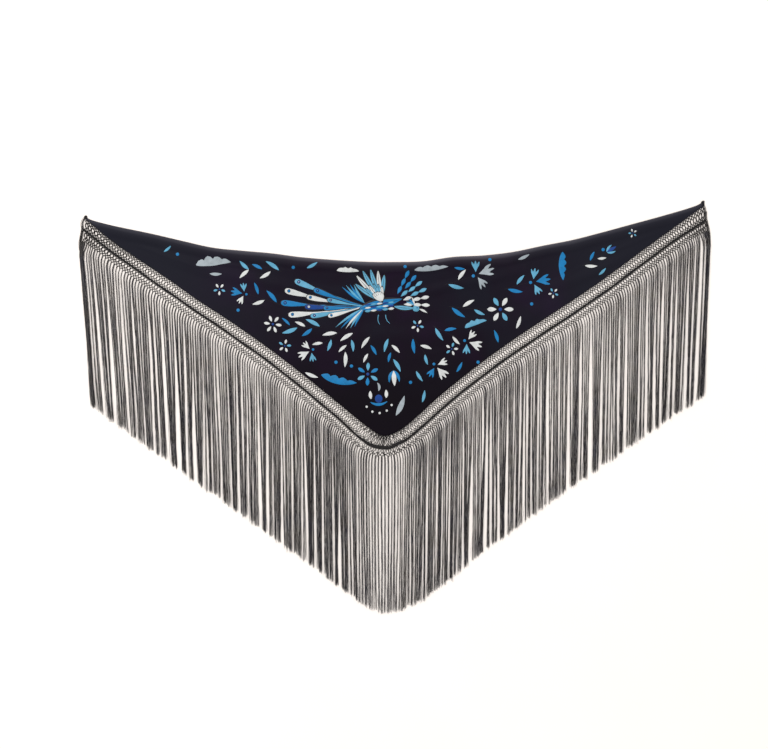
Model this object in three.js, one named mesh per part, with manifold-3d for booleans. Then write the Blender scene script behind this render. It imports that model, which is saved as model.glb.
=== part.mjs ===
// A triangular fringed shawl of thin black silk, laid flat on a table with its fringe combed straight.
// The cloth is turned over in a soft round fold along its long top edge. A hand-knotted net runs down both
// short edges and round the point: an upper net, a dense row of knotted cord, a lower net, and the fringe.
// Sizes are in millimetres. +X runs to the right, +Y towards the long top edge and +Z up off the table.
import * as THREE from "three";
import Module from "manifold-3d";
import { mergeVertices } from "three/addons/utils/BufferGeometryUtils.js";

// The row of knotted cord, from the left tip round the point to the right tip.
const CORD_LINE = [
  { x: -803, y: 460 },
  { x: -729, y: 402 },
  { x: -554, y: 278 },
  { x: -431, y: 195 },
  { x: -307, y: 107 },
  { x: -167, y: -8 },
  { x: -71, y: -92 },
  { x: -28, y: -104 },
  { x: 25, y: -84 },
  { x: 144, y: 18 },
  { x: 270, y: 116 },
  { x: 528, y: 292 },
  { x: 706, y: 423 },
  { x: 801, y: 486 },
];

// The long top edge, which sags between the two tips.
const TOP_EDGE = [
  { x: -801, y: 496 },
  { x: -760, y: 477 },
  { x: -554, y: 430 },
  { x: -400, y: 405 },
  { x: -245, y: 389 },
  { x: -90, y: 376 },
  { x: 13, y: 376 },
  { x: 116, y: 386 },
  { x: 270, y: 399 },
  { x: 425, y: 425 },
  { x: 580, y: 464 },
  { x: 734, y: 507 },
  { x: 796, y: 531 },
];

// The line of the fringe's cut ends, nearly straight on both sides and rounded under the point.
const FRINGE_ENDS = [
  { x: -783, y: 8 },
  { x: -502, y: -196 },
  { x: -245, y: -381 },
  { x: -129, y: -470 },
  { x: -77, y: -508 },
  { x: -28, y: -529 },
  { x: 18, y: -520 },
  { x: 77, y: -490 },
  { x: 142, y: -438 },
  { x: 232, y: -363 },
  { x: 348, y: -278 },
  { x: 796, y: 36 },
];

// Soft folds in the cloth. Each runs between two places along X, and lies at three depths below the top
// edge: at its start, in its middle and at its end.
const FOLDS = [
  { name: "left swag", fromX: -640, toX: 20, depths: [48, 78, 92], height: 3.6, reach: 24 },
  { name: "right swag", fromX: -60, toX: 350, depths: [92, 74, 50], height: 4.2, reach: 22 },
  { name: "right low", fromX: 300, toX: 700, depths: [122, 100, 72], height: 3.2, reach: 26 },
  { name: "belly", fromX: -420, toX: 480, depths: [168, 192, 160], height: 3.4, reach: 40 },
  { name: "lower", fromX: -190, toX: 160, depths: [300, 306, 286], height: 2.4, reach: 34 },
];

// The round fold along the top edge: it rises from the table to its crest, and falls again below it. It is
// lower towards the tips, where less than fullFrom of cloth lies below it.
const TOP_FOLD = { crestDepth: 11, reach: 36, height: 6.2, steepness: 0.7, fullFrom: 70 };

const SEAM = 0.3; // between two pieces that are sewn or knotted together
const CLOTH_THICKNESS = 1.2;
const EDGE_FADE = 34; // the folds flatten out over this much cloth above the net
const ROW_DEPTHS = [0, 1, 3, 6, 11, 18, 26, 36, 54, 76, 100, 130, 164, 198, 246, 296, 346, 410];
const SHORTEST_ROW = 4; // a row that would end nearer to the net than this ends on it
const SHORTEST_END = 3; // the cloth is at least this high at its tips

const CORD = { halfWidth: 2.6, height: 3.6, sides: 4 };
const UPPER_NET = { width: 25.5, thickness: 2, atPoint: 10, pointSpread: 62 };
const LOWER_NET = { width: 26, thickness: 2 };
const EYELET = { pitch: 9.4, fromCord: 10.2, halfLength: 4.2, halfWidth: 2.6 };
const STRIP = { width: 3.2, height: 2.6, rootInside: 1.6 };
const STRAND = { width: 3, height: 2, liftOff: 0.3, straightOut: 9, drop: 16 };
const BUNCHED = 5; // the strands at each tip stand twice as close over this many pitches

// How far a strand's end lies from its root, sideways: the fringe leans in from both tips.
const LEAN = { left: 32, leftReach: 620, right: -12, rightReach: 320, atBend: 0.05 };
const BOW = { bend: 6, end: 10, reach: 14 }; // the outermost strands bow outwards by this much
// The strands draw together into loose groups towards their ends.
const GROUPS = [
  { size: 2.0, period: 7.3, phase: 0.4 },
  { size: 1.2, period: 12.9, phase: 1.9 },
];

// Stations along the cord, for the bands of the border and the edge of the cloth, closest round the point.
const STATION = { apart: 36, close: 8, closeWithin: 45, apartBeyond: 130 };
const TIP = { turn: 70, spread: 0.12 }; // the net's columns turn nearly upright towards each tip

const wasm = await Module();
wasm.setup();

function curveThrough(table) {
  const points = table.map((p) => new THREE.Vector3(p.x, p.y, 0));
  const curve = new THREE.CatmullRomCurve3(points, false, "centripetal");
  curve.arcLengthDivisions = 2000;
  return curve;
}

const cordCurve = curveThrough(CORD_LINE);
const cordLength = cordCurve.getLength();
const topPoints = curveThrough(TOP_EDGE).getSpacedPoints(800);

// A place on the cord line, with the direction that points into the cloth.
function placeAt(share) {
  const at = THREE.MathUtils.clamp(share, 0, 1);
  const point = cordCurve.getPointAt(at);
  const along = cordCurve.getTangentAt(at);
  const turned = 1 - THREE.MathUtils.smoothstep(Math.min(at, 1 - at) * cordLength, 0, TIP.turn);
  const inX = THREE.MathUtils.lerp(-along.y, at < 0.5 ? TIP.spread : -TIP.spread, turned);
  const inY = THREE.MathUtils.lerp(along.x, 1 / along.x, turned);
  return { x: point.x, y: point.y, alongX: along.x, alongY: along.y, inX, inY };
}

function beside(place, inwards, alongBy = 0) {
  return {
    x: place.x + place.inX * inwards + place.alongX * alongBy,
    y: place.y + place.inY * inwards + place.alongY * alongBy,
  };
}

function lowestOf(row) {
  return row.reduce((low, p, i) => (p.y < row[low].y ? i : low), 0);
}

function stationShares() {
  const fine = Array.from({ length: 1001 }, (_, i) => placeAt(i / 1000));
  const pointAt = (lowestOf(fine) / 1000) * cordLength;
  const marks = [0];
  while (marks.at(-1) < cordLength) {
    const away = Math.abs(marks.at(-1) - pointAt);
    const spread = THREE.MathUtils.smoothstep(away, STATION.closeWithin, STATION.apartBeyond);
    marks.push(marks.at(-1) + THREE.MathUtils.lerp(STATION.close, STATION.apart, spread));
  }
  return marks.map((mark) => mark / marks.at(-1));
}

const places = stationShares().map(placeAt);
const pointStation = lowestOf(places);
const pointX = places[pointStation].x;

// The upper net is widest at the point, where its two straight runs meet.
function upperWidth(x) {
  return UPPER_NET.width + UPPER_NET.atPoint * Math.exp(-(((x - pointX) / UPPER_NET.pointSpread) ** 2));
}

// The height of a polyline that runs along X, at one place.
function heightOn(line, x) {
  const after = line.findIndex((p) => p.x >= x);
  if (after < 0) return line[line.length - 1].y;
  if (after === 0) return line[0].y;
  const [a, b] = [line[after - 1], line[after]];
  return a.y + ((b.y - a.y) * (x - a.x)) / (b.x - a.x);
}

const topY = (x) => heightOn(topPoints, x);

// A smooth hump, 1 in the middle and 0 from one reach away.
const hump = (t) => (Math.abs(t) >= 1 ? 0 : 0.5 + 0.5 * Math.cos(Math.PI * t));

// The height of the round fold at a depth below the top edge.
function topFoldHeight(depth) {
  const { crestDepth, reach, height, steepness } = TOP_FOLD;
  if (depth < crestDepth) return height * Math.sin((Math.PI / 2) * (depth / crestDepth)) ** steepness;
  return height * hump((depth - crestDepth) / (reach - crestDepth));
}

// How far the cloth stands off the table, at a place and a height above the net.
function foldHeight(x, y, aboveNet) {
  const depth = Math.max(0, topY(x) - y);
  const room = THREE.MathUtils.smoothstep(depth + aboveNet, 0, TOP_FOLD.fullFrom);
  let height = 0;
  for (const fold of FOLDS) {
    const t = (x - fold.fromX) / (fold.toX - fold.fromX);
    if (t <= 0 || t >= 1) continue;
    const [start, middle, end] = fold.depths;
    const bow = middle - (start + end) / 2;
    const centre = start + (end - start) * t + 4 * bow * t * (1 - t);
    const taper = Math.sin(Math.PI * t) ** 0.6;
    height += fold.height * taper * hump((depth - centre) / fold.reach);
  }
  return room * topFoldHeight(depth) + height * THREE.MathUtils.smoothstep(aboveNet, 0, EDGE_FADE);
}

// A closed solid from a surface, given as columns of points, and the same surface moved out square to it.
function wall(columns, thickness) {
  const positions = [];
  const indices = [];
  const known = new Map();
  const outer = (column, row) => {
    const [a, b] = [column[Math.max(0, row - 1)], column[Math.min(column.length - 1, row + 1)]];
    const size = Math.hypot(a.y - b.y, a.z - b.z) || 1;
    const p = column[row];
    return { x: p.x, y: p.y + (thickness * (b.z - a.z)) / size, z: p.z + (thickness * (a.y - b.y)) / size };
  };
  const corner = ([column, row], isOuter) => {
    const from = columns[column][row];
    const key = `${from.x.toFixed(3)} ${from.y.toFixed(3)} ${isOuter}`;
    if (!known.has(key)) {
      const p = isOuter ? outer(columns[column], row) : from;
      known.set(key, positions.length / 3);
      positions.push(p.x, p.y, p.z);
    }
    return known.get(key);
  };
  const triangle = (a, b, c) => {
    if (a !== b && b !== c && c !== a) indices.push(a, b, c);
  };
  const quad = (a, b, c, d) => {
    triangle(a, b, c);
    triangle(a, c, d);
  };
  const last = columns.length - 1;
  const lastRow = columns[0].length - 1;
  for (let i = 0; i < last; i++) {
    for (let j = 0; j < lastRow; j++) {
      const cell = [[i, j], [i, j + 1], [i + 1, j + 1], [i + 1, j]];
      quad(...cell.map((at) => corner(at, true)));
      quad(...cell.reverse().map((at) => corner(at, false)));
    }
  }
  // The four edges close the wall between its two surfaces.
  const side = (p, q) => quad(corner(p, true), corner(p, false), corner(q, false), corner(q, true));
  for (let i = 0; i < last; i++) {
    side([i + 1, 0], [i, 0]);
    side([i, lastRow], [i + 1, lastRow]);
  }
  for (let j = 0; j < lastRow; j++) {
    side([0, j], [0, j + 1]);
    side([last, j + 1], [last, j]);
  }
  const geometry = new THREE.BufferGeometry();
  geometry.setAttribute("position", new THREE.Float32BufferAttribute(positions, 3));
  geometry.setIndex(indices);
  return geometry;
}

// A bar along a line of places, of one section all along, its flat side down on the table.
function bar(line, section) {
  const rings = line.map((p) => section.map((s) => ({ ...beside(p, s.across), z: s.up })));
  return loft(rings);
}

// A closed solid through rings of the same number of points.
function loft(rings) {
  const sides = rings[0].length;
  const positions = rings.flat().flatMap((p) => [p.x, p.y, p.z]);
  const indices = [];
  for (let i = 0; i < rings.length - 1; i++) {
    for (let k = 0; k < sides; k++) {
      const [a, b] = [i * sides + k, i * sides + ((k + 1) % sides)];
      indices.push(a, b, a + sides, b, b + sides, a + sides);
    }
  }
  const far = (rings.length - 1) * sides;
  for (let k = 1; k < sides - 1; k++) {
    indices.push(0, k + 1, k);
    indices.push(far, far + k, far + k + 1);
  }
  const geometry = new THREE.BufferGeometry();
  geometry.setAttribute("position", new THREE.Float32BufferAttribute(positions, 3));
  geometry.setIndex(indices);
  return geometry;
}

// Half an ellipse over a flat base, as places across the bar and up.
function roundedSection(halfWidth, height, sides) {
  const arc = Array.from({ length: sides - 1 }, (_, k) => {
    const angle = (Math.PI * (k + 0.5)) / (sides - 1);
    return { across: halfWidth * Math.cos(angle), up: height * Math.sin(angle) };
  });
  return [{ across: halfWidth, up: 0 }, ...arc, { across: -halfWidth, up: 0 }];
}

// The cloth, in columns from its top edge to the net, where there is room for cloth between them.
function clothGeometry() {
  const lower = places.map((p) => beside(p, upperWidth(p.x) + SEAM));
  const columns = lower
    .filter((net) => net.y + SHORTEST_END < topY(net.x) - CLOTH_THICKNESS)
    .map((net) => {
      const top = topY(net.x) - CLOTH_THICKNESS;
      return ROW_DEPTHS.map((depth, row) => {
        const ends = row > 0 && (top - depth < net.y + SHORTEST_ROW || row === ROW_DEPTHS.length - 1);
        const y = ends ? net.y : top - depth;
        return new THREE.Vector3(net.x, y, foldHeight(net.x, y + CLOTH_THICKNESS, y - net.y));
      });
    });
  return wall(columns, CLOTH_THICKNESS);
}

// The stretch of stations on one side of the point. The two sides meet with a seam between them.
function stretch(side) {
  return side === "left" ? places.slice(0, pointStation + 1) : places.slice(pointStation);
}

// How far a place at the point is moved along, so that the two sides stay a seam apart.
function seamShift(place, side) {
  if (place.x !== pointX) return 0;
  return side === "left" ? -SEAM / 2 : SEAM / 2;
}

// A flat band of net between two distances from the cord line, with an eyelet in each repeat.
function netGeometry(side, near, far, thickness, eyelets) {
  const line = stretch(side);
  const edge = (distance) => line.map((p) => beside(p, distance(p.x), seamShift(p, side)));
  const outline = [...edge(near), ...edge(far).reverse()];
  const shape = new THREE.Shape(outline.map((p) => new THREE.Vector2(p.x, p.y)));
  for (const place of eyelets) {
    const diamond = [
      beside(place, EYELET.fromCord - EYELET.halfLength),
      beside(place, EYELET.fromCord, EYELET.halfWidth),
      beside(place, EYELET.fromCord + EYELET.halfLength),
      beside(place, EYELET.fromCord, -EYELET.halfWidth),
    ];
    shape.holes.push(new THREE.Path(diamond.map((p) => new THREE.Vector2(p.x, p.y))));
  }
  return new THREE.ExtrudeGeometry(shape, { depth: thickness, bevelEnabled: false });
}

function upperNet(side) {
  const near = () => CORD.halfWidth + SEAM;
  return netGeometry(side, near, upperWidth, UPPER_NET.thickness, repeats(side));
}

function lowerNet(side) {
  const near = () => -LOWER_NET.width;
  const far = () => -CORD.halfWidth - SEAM;
  return netGeometry(side, near, far, LOWER_NET.thickness, []);
}

function cordGeometry(side) {
  const line = stretch(side).map((p) => ({ ...p, ...beside(p, 0, seamShift(p, side)) }));
  return bar(line, roundedSection(CORD.halfWidth, CORD.height, CORD.sides));
}

// The middle of each repeat of the net on one side, clear of the tip and of the seam at the point.
function repeats(side) {
  const count = Math.round(cordLength / EYELET.pitch);
  const pitch = cordLength / count;
  const all = Array.from({ length: count }, (_, i) => placeAt(((i + 0.5) * pitch) / cordLength));
  const clear = EYELET.halfWidth + 1.5;
  return all.filter((p) => (side === "left" ? p.x < pointX - clear : p.x > pointX + clear));
}

// The roots of the strands on one side: one under each repeat, and twice as many close to the tip.
function rootsOf(side) {
  const row = repeats(side);
  const fromTip = side === "left" ? row : [...row].reverse();
  const between = fromTip.slice(0, BUNCHED).map((p, i) => {
    const next = fromTip[i + 1];
    const mix = (key) => (p[key] + next[key]) / 2;
    const keys = ["x", "y", "alongX", "alongY", "inX", "inY"];
    return Object.fromEntries(keys.map((key) => [key, mix(key)]));
  });
  return [...row, ...between].sort((a, b) => a.x - b.x);
}

// How near a root is to a tip, from 0 to 1, where the tip's effect reaches so far.
const nearLeft = (x, reach) => THREE.MathUtils.clamp(1 - (x - CORD_LINE[0].x) / reach, 0, 1);
const nearRight = (x, reach) => THREE.MathUtils.clamp(1 - (CORD_LINE.at(-1).x - x) / reach, 0, 1);

function leanAt(x) {
  return LEAN.left * nearLeft(x, LEAN.leftReach) ** 2 + LEAN.right * nearRight(x, LEAN.rightReach) ** 2;
}

// The outermost strands stand out from the rest, to the left at one tip and to the right at the other.
const bowAt = (x) => nearRight(x, BOW.reach) - nearLeft(x, BOW.reach);

function groupShift(index, count) {
  const fromTip = Math.min(index, count - 1 - index);
  const fade = THREE.MathUtils.smoothstep(fromTip, 2 * BUNCHED, 3 * BUNCHED);
  const pulls = GROUPS.map((g) => g.size * Math.sin((2 * Math.PI * index) / g.period + g.phase));
  return fade * pulls.reduce((sum, pull) => sum + pull, 0);
}

// A three-sided strand: straight out of the strip, over a bend, and down to its cut end.
function strandGeometry(root, index, count) {
  const start = beside(root, -LOWER_NET.width - SEAM - STRIP.rootInside);
  const out = beside(root, -LOWER_NET.width - SEAM - STRIP.width - STRAND.straightOut);
  const [lean, bow] = [leanAt(start.x), bowAt(start.x)];
  const bend = { x: out.x + LEAN.atBend * lean + BOW.bend * bow, y: out.y - STRAND.drop };
  const endX = start.x + lean + BOW.end * bow + groupShift(index, count);
  const end = { x: endX, y: heightOn(FRINGE_ENDS, endX) };
  const line = [start, bend, end];
  const rings = line.map((p, i) => {
    const [a, b] = [line[Math.max(0, i - 1)], line[Math.min(line.length - 1, i + 1)]];
    const size = Math.hypot(b.x - a.x, b.y - a.y);
    const across = { x: -(b.y - a.y) / size, y: (b.x - a.x) / size };
    const half = STRAND.width / 2;
    return [
      new THREE.Vector3(p.x + across.x * half, p.y + across.y * half, STRAND.liftOff),
      new THREE.Vector3(p.x, p.y, STRAND.liftOff + STRAND.height),
      new THREE.Vector3(p.x - across.x * half, p.y - across.y * half, STRAND.liftOff),
    ];
  });
  return loft(rings);
}

function stripGeometry(side) {
  const near = -LOWER_NET.width - SEAM;
  const far = near - STRIP.width;
  const edge = (distance) => stretch(side).map((p) => beside(p, distance, seamShift(p, side)));
  const outline = [...edge(far), ...edge(near).reverse()];
  const shape = new THREE.Shape(outline.map((p) => new THREE.Vector2(p.x, p.y)));
  return new THREE.ExtrudeGeometry(shape, { depth: STRIP.height, bevelEnabled: false });
}

// A geometry as a solid that can be joined.
function solidOf(geometry) {
  const bare = geometry.clone();
  bare.deleteAttribute("normal");
  bare.deleteAttribute("uv");
  const merged = mergeVertices(bare, 1e-4);
  return new wasm.Manifold(
    new wasm.Mesh({
      numProp: 3,
      vertProperties: merged.attributes.position.array,
      triVerts: new Uint32Array(merged.index.array),
    }),
  );
}

function geometryOf(solid) {
  const mesh = solid.getMesh();
  const geometry = new THREE.BufferGeometry();
  geometry.setAttribute("position", new THREE.Float32BufferAttribute(mesh.vertProperties, 3));
  geometry.setIndex(new THREE.BufferAttribute(mesh.triVerts, 1));
  return geometry;
}

// One side of the fringe: its strands stand apart, fused at their roots into the narrow strip.
function fringeGeometry(side) {
  const roots = rootsOf(side);
  const strands = roots.map((root, i) => solidOf(strandGeometry(root, i, roots.length)));
  return geometryOf(strands.reduce((made, strand) => made.add(strand), solidOf(stripGeometry(side))));
}

const silk = new THREE.MeshStandardMaterial({ color: 0x231e28, roughness: 0.5, metalness: 0 });
const yarn = new THREE.MeshStandardMaterial({ color: 0x2b2829, roughness: 0.6, metalness: 0 });

const shawl = new THREE.Group();

function addPiece(name, geometry, material) {
  geometry.computeVertexNormals();
  const mesh = new THREE.Mesh(geometry, material);
  mesh.name = name;
  shawl.add(mesh);
}

addPiece("cloth", clothGeometry(), silk);
for (const side of ["left", "right"]) {
  addPiece(`net_upper_${side}`, upperNet(side), yarn);
  addPiece(`cord_row_${side}`, cordGeometry(side), yarn);
  addPiece(`net_lower_${side}`, lowerNet(side), yarn);
  addPiece(`fringe_${side}`, fringeGeometry(side), yarn);
}

// The origin is on the table, under the middle of the whole shawl.
const bounds = new THREE.Box3().setFromObject(shawl);
const middle = bounds.getCenter(new THREE.Vector3());
shawl.position.set(-middle.x, -middle.y, -bounds.min.z);

export default shawl;
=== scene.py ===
"""A triangular shawl of thin black silk, embroidered in white and blues, laid flat on a pale table.

Down both short edges and round the point run a hand-knotted net, with a dense row of cord in its middle,
and a long fringe. Lengths in the tables are in millimetres, from the drawing's own origin, with X to the
right and Y towards the long top edge.
"""

import math

import bpy
import numpy as np
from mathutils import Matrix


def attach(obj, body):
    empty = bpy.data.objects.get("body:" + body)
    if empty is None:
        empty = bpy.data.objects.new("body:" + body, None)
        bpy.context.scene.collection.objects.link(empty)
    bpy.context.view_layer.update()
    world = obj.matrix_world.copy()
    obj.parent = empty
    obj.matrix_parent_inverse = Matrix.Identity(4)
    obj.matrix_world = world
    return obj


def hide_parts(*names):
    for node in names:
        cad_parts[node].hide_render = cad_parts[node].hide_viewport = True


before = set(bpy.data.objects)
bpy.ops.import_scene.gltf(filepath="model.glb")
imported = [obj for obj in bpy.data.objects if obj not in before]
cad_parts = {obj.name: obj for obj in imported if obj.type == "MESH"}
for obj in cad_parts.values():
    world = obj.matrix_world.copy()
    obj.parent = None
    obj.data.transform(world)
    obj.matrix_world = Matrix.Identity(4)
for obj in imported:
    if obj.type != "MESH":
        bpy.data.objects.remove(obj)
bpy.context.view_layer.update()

MM = 0.001
ORIGIN = np.array([0.68, -1.99])  # the drawing's origin in the shared frame, in millimetres
SEED = 7

# The row of knotted cord, from the left tip round the point to the right tip.
CORD_LINE = [
    (-803, 460), (-729, 402), (-554, 278), (-431, 195), (-307, 107), (-167, -8), (-71, -92),
    (-28, -104), (25, -84), (144, 18), (270, 116), (528, 292), (706, 423), (801, 486),
]

# The long top edge, which sags between the two tips.
TOP_EDGE = [
    (-801, 496), (-788, 487), (-740, 473), (-623, 448), (-546, 430), (-469, 413), (-392, 405), (-314, 398),
    (-237, 388), (-82, 377), (-5, 376), (72, 378), (149, 389), (227, 393), (304, 402), (381, 418),
    (458, 433), (536, 453), (613, 474), (690, 495), (764, 517), (782, 524), (797, 534),
]

# The line of the fringe's cut ends.
FRINGE_ENDS = [
    (-783, 8), (-502, -196), (-245, -381), (-129, -470), (-77, -508), (-28, -529), (18, -520),
    (77, -490), (142, -438), (232, -363), (348, -278), (796, 36),
]

# Soft folds between two places along X, at three depths below the top edge: start, middle and end.
FOLDS = [
    dict(from_x=-640, to_x=20, depths=(48, 78, 92), height=3.6, reach=24),
    dict(from_x=-60, to_x=350, depths=(92, 74, 50), height=4.2, reach=22),
    dict(from_x=300, to_x=700, depths=(122, 100, 72), height=3.2, reach=26),
    dict(from_x=-420, to_x=480, depths=(168, 192, 160), height=3.4, reach=40),
    dict(from_x=-190, to_x=160, depths=(300, 306, 286), height=2.4, reach=34),
]
TOP_FOLD = dict(crest_depth=11, reach=36, height=6.2, steepness=0.7, full_from=70, clear_from=18, clear_at=44)

# Finer creases, each a soft ridge: its start, its end, its height, its reach to each side and its bow.
CREASES = [
    ((-700, 436), (-330, 330), 1.1, 11, -14), ((-560, 392), (-240, 352), 0.9, 8, -6),
    ((-470, 300), (-210, 205), 0.8, 12, 10), ((-250, 300), (-60, 120), 0.9, 14, 16),
    ((330, 408), (338, 340), 0.9, 5, 2), ((160, 366), (262, 352), 1.0, 6, 4),
    ((120, 200), (330, 262), 0.9, 12, -12), ((20, 120), (210, 190), 0.8, 13, -9),
    ((420, 330), (700, 458), 1.0, 9, 8), ((470, 400), (690, 470), 0.8, 7, 5),
    ((-40, 70), (40, 10), 0.7, 12, 5),
]

# The last value of SILK sets the depth scale, in millimetres, of the painted highlight along the top fold.
SILK = dict(top=1.05, thickness=0.5, edge_fade=34, spacing=5.5, rows=96, row_power=1.45, room=1, painted_highlight_depth=38)
TIP = dict(turn=70, spread=0.12)

# The upper net's rows are drawn for one width. Its true width, at distances along the cord, stretches the
# rows that lie further from the cord than the near ones.
DRAWN_WIDTH = 27.5
NEAR_ROWS = 7.2
UPPER_WIDTHS = [
    (0, 22.5), (100, 23), (150, 24.2), (200, 26), (260, 27), (350, 26.2), (450, 28), (610, 28),
    (750, 29.2), (805, 29.8), (840, 31.4), (870, 33.2), (905, 34.4), (940, 32.4), (975, 30), (1020, 28.6),
    (1150, 28.8), (1450, 30), (1650, 29.2), (1775, 28.4), (1870, 28), (1905, 28.8), (1935, 30), (1983, 31.5),
]

# How far the border strays from its line towards the cloth, at distances along the cord.
DRIFT = [
    (0, 0), (280, 0.2), (620, -1.2), (780, -0.5), (905, 1.8), (1100, 0.3), (1375, -0.5), (1675, -1.7),
    (1983, -1.0),
]

# How thick the net's cords are at distances along the cord: thickest at both tips.
NET_WEIGHTS = [
    (0, 1.38), (60, 1.33), (100, 1.25), (140, 1.2), (190, 1.08), (260, 1), (650, 1), (750, 0.94),
    (860, 0.94), (905, 0.88), (965, 1.05), (1100, 0.97), (1600, 1), (1775, 1.07), (1825, 1.15),
    (1905, 1.16), (1935, 1.25), (1983, 1.35),
]
PAIRS = dict(shift=0.9, reach=110)  # near the point the knots draw together in twos

# The repeat of the net at distances along the cord: the knots crowd towards the point.
PITCHES = [
    (0, 9.1), (140, 8.9), (300, 8.0), (460, 7.8), (620, 7.45), (780, 6.8), (940, 6.0), (1100, 6.3),
    (1260, 6.65), (1420, 7.1), (1580, 7.45), (1983, 7.5),
]

# The rows of small knots: how far into the cloth from the cord, and how far along by repeats.
UPPER_ROWS = [(27.6, 0.0), (23.6, 0.5), (19.6, 0.0), (7.2, 0.0), (2.8, 0.5)]
LOWER_ROWS = [(-2.9, 0.0), (-13.6, 0.0), (-18.0, 0.5), (-22.4, 0.0)]
LONG_GAP = 7  # rows further apart than this bound the long gaps, whose sides are bowed
NET_CORD = dict(radius=0.84, at_long_gap=0.72, sides=5, lift=1.0, bowed=0.45)
KNOT = dict(length=2.7, width=2.5, height=2.3, lift=0.3)
DENSE_ROW = dict(half_width=2.9, height=3.2, bead_pitch=3.1, bead=2.2, at_point=0.8, near_point=55, flat=0.5)

FRINGE = dict(root=-22.4, out=9, drop=15, bend_share=0.16, yarns=8, radius=0.36, sides=3, points=17,
              bundle=1.25, thick=3.0)
STRAYS = dict(yarns=3, radius=0.18, spread=2.8)

# How widely the yarns of a bundle lie, at distances along the cord.
FULLNESS = [
    (0, 0.9), (30, 0.75), (90, 1.05), (500, 1.0), (780, 0.76), (1000, 0.68), (1300, 0.62), (1983, 0.66),
]
FULLNESS_AT_TOP = [
    (0, 0.8), (30, 0.65), (90, 0.95), (220, 0.85), (320, 0.73), (850, 0.69), (960, 0.86), (1150, 0.86),
    (1600, 0.77), (1775, 1.02), (1983, 0.95),
]

# The dense few bundles at each tip, by repeats, and how far the next three lie towards the middle.
TIP_BUNDLES = dict(left=(0.1, 0.3, 0.55, 0.8, 1.1), right=(0.15, 0.45, 0.75, 1.1, 1.5))
DRAWN_IN = dict(left=(-5.5, -1.5, 0), right=(4, -3, 5))

# The bundle that closes the net at each tip, from the cloth's corner down to the fringe.
END_BUNDLES = dict(
    left=[
        (-797, 492), (-803, 485), (-806, 476), (-805, 462), (-808, 445), (-811, 425), (-810, 404),
        (-807, 376),
    ],
    right=[
        (790, 530), (796, 521), (799.5, 507), (801, 488), (805.5, 466), (808.5, 450), (810, 432), (809, 408),
        (807, 380),
    ],
)
END_BUNDLE = dict(yarns=8, spread=2.7, radius=0.42, shortest=0.72, late=26, lacing=6.5, lacing_pitch=3.4,
                  lacing_share=0.72)
TIP_KNOTS = [
    dict(at=(-796.5, 491.5), along=(-0.5, -0.85), size=(10, 8.5, 5.5)),
    dict(at=(791.6, 530.6), along=(0.74, 0.67), size=(9, 4.8, 4.4)),
]
LEAN = dict(left=32, left_reach=620, right=-16, right_reach=320, at_bend=0.05)
BOW = dict(bend=9.3, end=8, reach=34)

YARNS_IN_BUNDLE = FRINGE["yarns"] + STRAYS["yarns"]

CAMERA = dict(centre=(-28.3, 86.3), height=5000.0, frame_width=768 * 2.576)
LIT = 1.35  # how bright a white level surface looks in the scene's light
FLOOR_COLOUR = (0.90, 0.835, 0.785)


def smoothstep(x, low, high):
    t = np.clip((x - low) / (high - low), 0, 1)
    return t * t * (3 - 2 * t)


def hump(t):
    """1 in the middle and 0 from one reach away."""
    return np.where(np.abs(t) >= 1, 0.0, 0.5 + 0.5 * np.cos(np.pi * np.clip(t, -1, 1)))


def mix(a, b, t):
    return a + (b - a) * t


def unit(vectors):
    return vectors / np.maximum(np.linalg.norm(vectors, axis=-1, keepdims=True), 1e-9)


def raised(places, z):
    """Places in the drawing, with their height above the table."""
    return np.concatenate([places, np.broadcast_to(z, places.shape[:-1])[..., None]], axis=-1)


def curve_through(table, steps=80):
    """A smooth line through the table's points, as many short steps."""
    given = np.array(table, float)
    full = np.vstack([2 * given[0] - given[1], given, 2 * given[-1] - given[-2]])
    t = np.linspace(0, 1, steps, endpoint=False)[:, None]
    pieces = []
    for p0, p1, p2, p3 in zip(full, full[1:], full[2:], full[3:]):
        gaps = [np.linalg.norm(b - a) ** 0.5 for a, b in ((p0, p1), (p1, p2), (p2, p3))]
        t1 = ((p1 - p0) / gaps[0] - (p2 - p0) / (gaps[0] + gaps[1]) + (p2 - p1) / gaps[1]) * gaps[1]
        t2 = ((p2 - p1) / gaps[1] - (p3 - p1) / (gaps[1] + gaps[2]) + (p3 - p2) / gaps[2]) * gaps[1]
        cubic = 2 * p1 - 2 * p2 + t1 + t2
        square = -3 * p1 + 3 * p2 - 2 * t1 - t2
        pieces.append(p1 + t * (t1 + t * (square + t * cubic)))
    return np.vstack(pieces + [given[-1:]])


class Line:
    """A polyline that is walked by distance."""

    def __init__(self, points):
        self.points = points
        steps = np.linalg.norm(np.diff(points, axis=0), axis=1)
        self.marks = np.concatenate([[0], np.cumsum(steps)])
        self.length = self.marks[-1]
        self.slopes = unit(np.gradient(points, self.marks, axis=0))

    def at(self, s):
        return np.stack([np.interp(s, self.marks, self.points[:, k]) for k in (0, 1)], axis=-1)

    def along(self, s):
        return np.stack([np.interp(s, self.marks, self.slopes[:, k]) for k in (0, 1)], axis=-1)


cord = Line(curve_through(CORD_LINE))
top_points = curve_through(TOP_EDGE)
point_s = cord.marks[np.argmin(cord.points[:, 1])]

# The number of repeats passed at each mark along the cord.
PITCH_TABLE = np.array(PITCHES)
steps_passed = np.diff(cord.marks) / np.interp(cord.marks[:-1], PITCH_TABLE[:, 0], PITCH_TABLE[:, 1])
passed = np.concatenate([[0], np.cumsum(steps_passed)])
count = round(passed[-1])
passed *= count / passed[-1]


def repeat_place(n):
    """The distance along the cord of repeat number n."""
    return np.interp(n, passed, cord.marks)


def pitch_at(s):
    return np.interp(s, PITCH_TABLE[:, 0], PITCH_TABLE[:, 1])


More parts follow.
